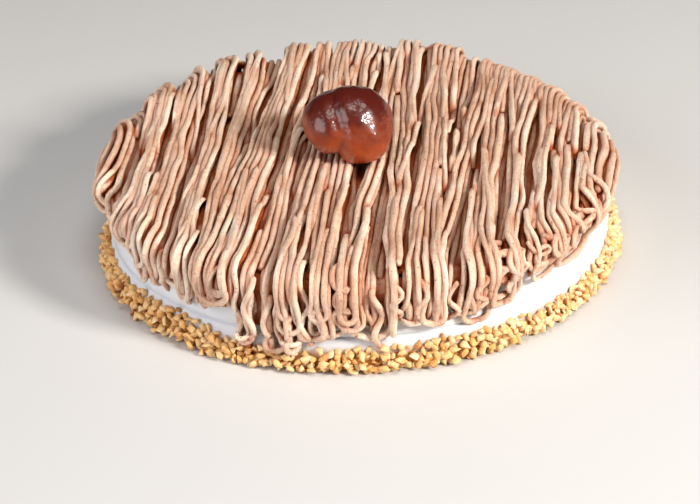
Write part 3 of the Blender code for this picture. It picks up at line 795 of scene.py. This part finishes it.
def strand_mesh(name, tubes, sides, widest):
    """One mesh of all strands of a layer: rings of points, closer together in tight bends. Low
    ridges run along each strand, from the edge of its hole."""
    points, faces, count = [], [], 0
    turns = np.linspace(0.0, 2 * math.pi, sides, endpoint=False)
    noise_rng = np.random.default_rng(8)
    for path, lift, radius in tubes:
        line = on_cream(path, lift)
        ahead = np.gradient(line, axis=0)
        length = np.linalg.norm(ahead, axis=1)
        tangent = ahead / np.maximum(length, 1e-12)[:, None]
        bend = np.linalg.norm(np.gradient(tangent, axis=0), axis=1) / np.maximum(length, 1e-9)
        spacing = np.clip(RING_TURN / np.maximum(bend, 1e-6), 0.9 * MM, widest)
        cost = np.concatenate([[0.0], np.cumsum(length[1:] / smoothed(spacing, 2)[1:])])
        at = np.interp(np.linspace(0, cost[-1], max(int(cost[-1]), 3) + 1), cost,
                       np.arange(len(line)))
        centre = np.column_stack([np.interp(at, np.arange(len(line)), line[:, i]) for i in range(3)])
        thick = np.interp(at, np.arange(len(line)), radius)
        ends = np.array([centre[0] - centre[1], centre[-1] - centre[-2]])
        ends *= (0.5 * thick[[0, -1]] / np.linalg.norm(ends, axis=1))[:, None]
        centre = np.vstack([centre[0] + ends[0], centre, centre[-1] + ends[1]])
        thick = np.concatenate([[thick[0] * 0.55], thick, [thick[-1] * 0.55]])
        ahead = np.gradient(centre, axis=0)
        tangent = ahead / np.maximum(np.linalg.norm(ahead, axis=1), 1e-12)[:, None]
        normal = np.array(Vector(tangent[0]).orthogonal().normalized())
        rings = []
        ridges = noise_rng.normal(0.0, 1.0, sides)
        for i in range(len(centre)):
            normal = normal - tangent[i] * (normal @ tangent[i])
            normal = normal / np.linalg.norm(normal)
            other = np.cross(tangent[i], normal)
            ridges = 0.93 * ridges + 0.37 * noise_rng.normal(0.0, 1.0, sides)
            lumps = thick[i] * (1 + RIDGES * ridges + noise_rng.normal(0.0, LUMPS, sides))
            spokes = np.outer(np.cos(turns), normal) + np.outer(np.sin(turns), other)
            rings.append(centre[i] + spokes * lumps[:, None])
        points.append(np.concatenate(rings))
        faces += [tuple(f + count) for f in grid_faces(len(rings), sides, True)]
        faces.append(tuple(range(count + sides - 1, count - 1, -1)))
        end = count + (len(rings) - 1) * sides
        faces.append(tuple(range(end, end + sides)))
        count += len(rings) * sides
    piece = new_piece(name, np.concatenate(points), faces, chestnut_paste)
    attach(piece, "root")
    mark_groove_shade(piece)
    return piece


# The height laid, averaged over about 5 mm, tells a groove from a strand that stands free; the
# grooves get painted shade by it.
near = np.hanning(13)[1:-1] / np.hanning(13).sum()
laid_around = np.apply_along_axis(np.convolve, 0, laid, near, mode="same")
laid_around = np.apply_along_axis(np.convolve, 1, laid_around, near, mode="same")
mark_groove_shade(paste_bed)
strand_mesh("lower_strands", strand_tubes["lower"], sides=7, widest=2.6 * MM)
strand_mesh("middle_strands", strand_tubes["middle"], sides=8, widest=2.3 * MM)
upper_strands = strand_mesh("upper_strands", strand_tubes["upper"], sides=8, widest=2.0 * MM)
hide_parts("piped_chestnut_cream")


# Candied chestnut: one whole chestnut boiled in syrup until it is glassy. A crease divides a
# small lobe on the left from the main body. It sits pressed a little into the strands.
CHESTNUT_SIZE = Vector((38.5 * MM, 35.5 * MM, 33.5 * MM))
CHESTNUT_RAISED = Vector((0, 0, 0.6 * MM))
CHESTNUT_BELLY = Vector((0.5, -0.68, -0.48)).normalized()  # where the body is fullest
BELLY_RISE, BELLY_WIDTH = 0.16, 0.45  # as shares of the radius, like the next two
CREASE_DEPTH, CREASE_WIDTH = 0.16, 0.17
chestnut_low, chestnut_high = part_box("candied_chestnut")
chestnut_middle = 0.5 * (Vector(chestnut_low) + Vector(chestnut_high)) + CHESTNUT_RAISED

# Candied chestnut under a sugar glaze: deep mahogany with blotches, painted lighter orange brown
# low down and darker towards the top, a painted glow and painted shade from how the light falls.
# The glaze is a hard glossy coat, uneven with sugar grains, so a light in it breaks up into glints.
glazed_chestnut, shader = new_material(
    "candied_chestnut_glazed", Roughness=0.36, IOR=1.5, Specular_IOR_Level=0.3,
    Subsurface_Weight=0.22, Subsurface_Scale=3.0 * MM, Subsurface_Radius=(1.0, 0.35, 0.15),
    Coat_Weight=0.65, Coat_Roughness=0.06, Coat_IOR=1.49)
place = add_node(glazed_chestnut, "ShaderNodeTexCoord")
split = add_node(glazed_chestnut, "ShaderNodeSeparateXYZ", [("Vector", place.outputs["Object"])])
# Painted light and shade: lighter orange brown low down, darker towards the top.
height = add_node(glazed_chestnut, "ShaderNodeMapRange", [("Value", split.outputs["Z"])],
                  From_Min=52 * MM, From_Max=84 * MM)
blotch = add_node(glazed_chestnut, "ShaderNodeTexNoise", [("Vector", place.outputs["Object"])],
                  Scale=1 / (9 * MM), Detail=4.0, Roughness=0.6)
blotch_and_painted_light = add_node(glazed_chestnut, "ShaderNodeMath",
                [(0, blotch.outputs["Fac"]), (2, height.outputs["Result"])],
                operation="MULTIPLY_ADD")
blotch_and_painted_light.inputs[1].default_value = 0.9
ramp = add_node(glazed_chestnut, "ShaderNodeValToRGB", [("Fac", blotch_and_painted_light.outputs["Value"])])
ramp.color_ramp.elements[0].position = 0.3
ramp.color_ramp.elements[0].color = linear("#B25223")
ramp.color_ramp.elements[1].position = 1.0
ramp.color_ramp.elements[1].color = linear("#50160B")
ramp.color_ramp.elements.new(0.62).color = linear("#8C3718")
dimple = add_node(glazed_chestnut, "ShaderNodeTexNoise", [("Vector", place.outputs["Object"])],
                  Scale=1 / (3.2 * MM), Detail=3.0)
skin_bump = add_node(glazed_chestnut, "ShaderNodeBump", [("Height", dimple.outputs["Fac"])],
                     Strength=0.4, Distance=0.6 * MM)
glaze_wave = add_node(glazed_chestnut, "ShaderNodeTexNoise", [("Vector", place.outputs["Object"])],
                      Scale=1 / (1.9 * MM), Detail=1.0, Roughness=0.5)
glaze_bump = add_node(glazed_chestnut, "ShaderNodeBump", [("Height", glaze_wave.outputs["Fac"])],
                      Strength=0.85, Distance=0.5 * MM)
feed(glazed_chestnut, shader, Base_Color=ramp.outputs["Color"], Normal=skin_bump.outputs["Normal"],
     Coat_Normal=glaze_bump.outputs["Normal"])

bm = bmesh.new()
bmesh.ops.create_uvsphere(bm, u_segments=96, v_segments=64, radius=0.5)
for vert in bm.verts:
    way = vert.co.normalized()
    # The crease bends round the left side, deepest in front and low down. The lobe beyond it
    # swells to the left and is slimmer below.
    crease = math.exp(-(((way.x + 0.23 + 0.2 * way.z * way.z) / CREASE_WIDTH) ** 2))
    crease *= 0.25 + 0.75 * max(0.0, min(1.0, 0.45 - 0.6 * way.y - 0.5 * way.z))
    lobe = 1.0 + 0.14 * max(0.0, -way.x - 0.35)
    lobe -= 0.3 * max(0.0, -0.7 * way.x - 0.7 * way.z - 0.6)
    uneven = 1 + 0.04 * smooth_noise(way * 1.7) + 0.02 * smooth_noise(way * 4.4)
    uneven += 0.007 * smooth_noise(Vector((way.x * 9, way.y * 9, way.z * 14)))
    belly = (way - CHESTNUT_BELLY).length
    uneven += BELLY_RISE * math.exp(-((belly / BELLY_WIDTH) ** 2))
    point = Vector((way.x * CHESTNUT_SIZE.x, way.y * CHESTNUT_SIZE.y, way.z * CHESTNUT_SIZE.z)) * 0.5
    vert.co = point * lobe * uneven * (1.0 - CREASE_DEPTH * crease) + chestnut_middle
chestnut_points = np.array([v.co[:] for v in bm.verts])
bm.verts.index_update()
chestnut_faces = [[v.index for v in f.verts] for f in bm.faces]
bm.free()
candied_chestnut = new_piece("glazed_chestnut", chestnut_points, chestnut_faces, glazed_chestnut)
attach(candied_chestnut, "root")
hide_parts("candied_chestnut")


# The studio: a plain pale floor, a small soft box from the right front, a weak one from above, a
# large one from the left that fills the shadows, and a dim even room.
FLOOR_HALF = 6.0

# Matt floor paint, rolled on: even and pale, with hardly any gloss.
floor_paint, shader = new_material("floor_paint_matt", Roughness=0.7, Base_Color=linear("#CECDCB"))
place = add_node(floor_paint, "ShaderNodeTexCoord")
speckle = add_node(floor_paint, "ShaderNodeTexNoise", [("Vector", place.outputs["Object"])],
                   Scale=1 / (4 * MM), Detail=2.0)
bump = add_node(floor_paint, "ShaderNodeBump", [("Height", speckle.outputs["Fac"])],
                Strength=0.04, Distance=0.2 * MM)
feed(floor_paint, shader, Normal=bump.outputs["Normal"])
corners = [(x * FLOOR_HALF, y * FLOOR_HALF, 0) for x, y in ((-1, -1), (1, -1), (1, 1), (-1, 1))]
floor = new_piece("floor", corners, [(0, 1, 2, 3)], floor_paint)

world = bpy.data.worlds.new("room")
bpy.context.scene.world = world
world.use_nodes = True
world.node_tree.nodes["Background"].inputs["Color"].default_value = linear("#E9EDF2")
world.node_tree.nodes["Background"].inputs["Strength"].default_value = 0.035


def soft_light(name, azimuth, elevation, distance, width, power, hex_colour):
    """A square soft box that faces the cake; azimuth is from the front, growing to the right."""
    lamp = bpy.data.lights.new(name, "AREA")
    lamp.shape = "SQUARE"
    lamp.size = width
    lamp.energy = power
    lamp.color = linear(hex_colour)[:3]
    holder = bpy.data.objects.new(name, lamp)
    bpy.context.scene.collection.objects.link(holder)
    turn, rise = math.radians(azimuth), math.radians(elevation)
    way = Vector((math.sin(turn) * math.cos(rise), -math.cos(turn) * math.cos(rise), math.sin(rise)))
    holder.location = way * distance
    holder.rotation_euler = (-way).to_track_quat("-Z", "Y").to_euler()


soft_light("key", azimuth=52, elevation=30, distance=1.5, width=0.3, power=30,
           hex_colour="#FFFAF4")
soft_light("top", azimuth=25, elevation=76, distance=1.5, width=0.7, power=9,
           hex_colour="#FFFCF6")
soft_light("fill", azimuth=-60, elevation=24, distance=1.5, width=1.2, power=18,
           hex_colour="#F3F4FA")

# The camera's place, aim and small roll were fitted to the photograph.
CAMERA_PLACE = Vector((0.00033, -0.91169, 0.51051))
CAMERA_AIM = Vector((-0.00474, -0.01255, 0.0))
CAMERA_ROLL = math.radians(-2.43)
camera_data = bpy.data.cameras.new("camera")
camera_data.lens = 120.0
camera_data.sensor_width = 36.0
camera_data.clip_start = 0.05
camera = bpy.data.objects.new("camera", camera_data)
bpy.context.scene.collection.objects.link(camera)
upright = (CAMERA_AIM - CAMERA_PLACE).to_track_quat("-Z", "Y").to_matrix()
camera.matrix_world = Matrix.Translation(CAMERA_PLACE) @ (
    upright @ Matrix.Rotation(CAMERA_ROLL, 3, "Z")).to_4x4()
bpy.context.scene.camera = camera

# Plain sRGB output, so that the colours above show as they are written.
bpy.context.scene.view_settings.view_transform = "Standard"
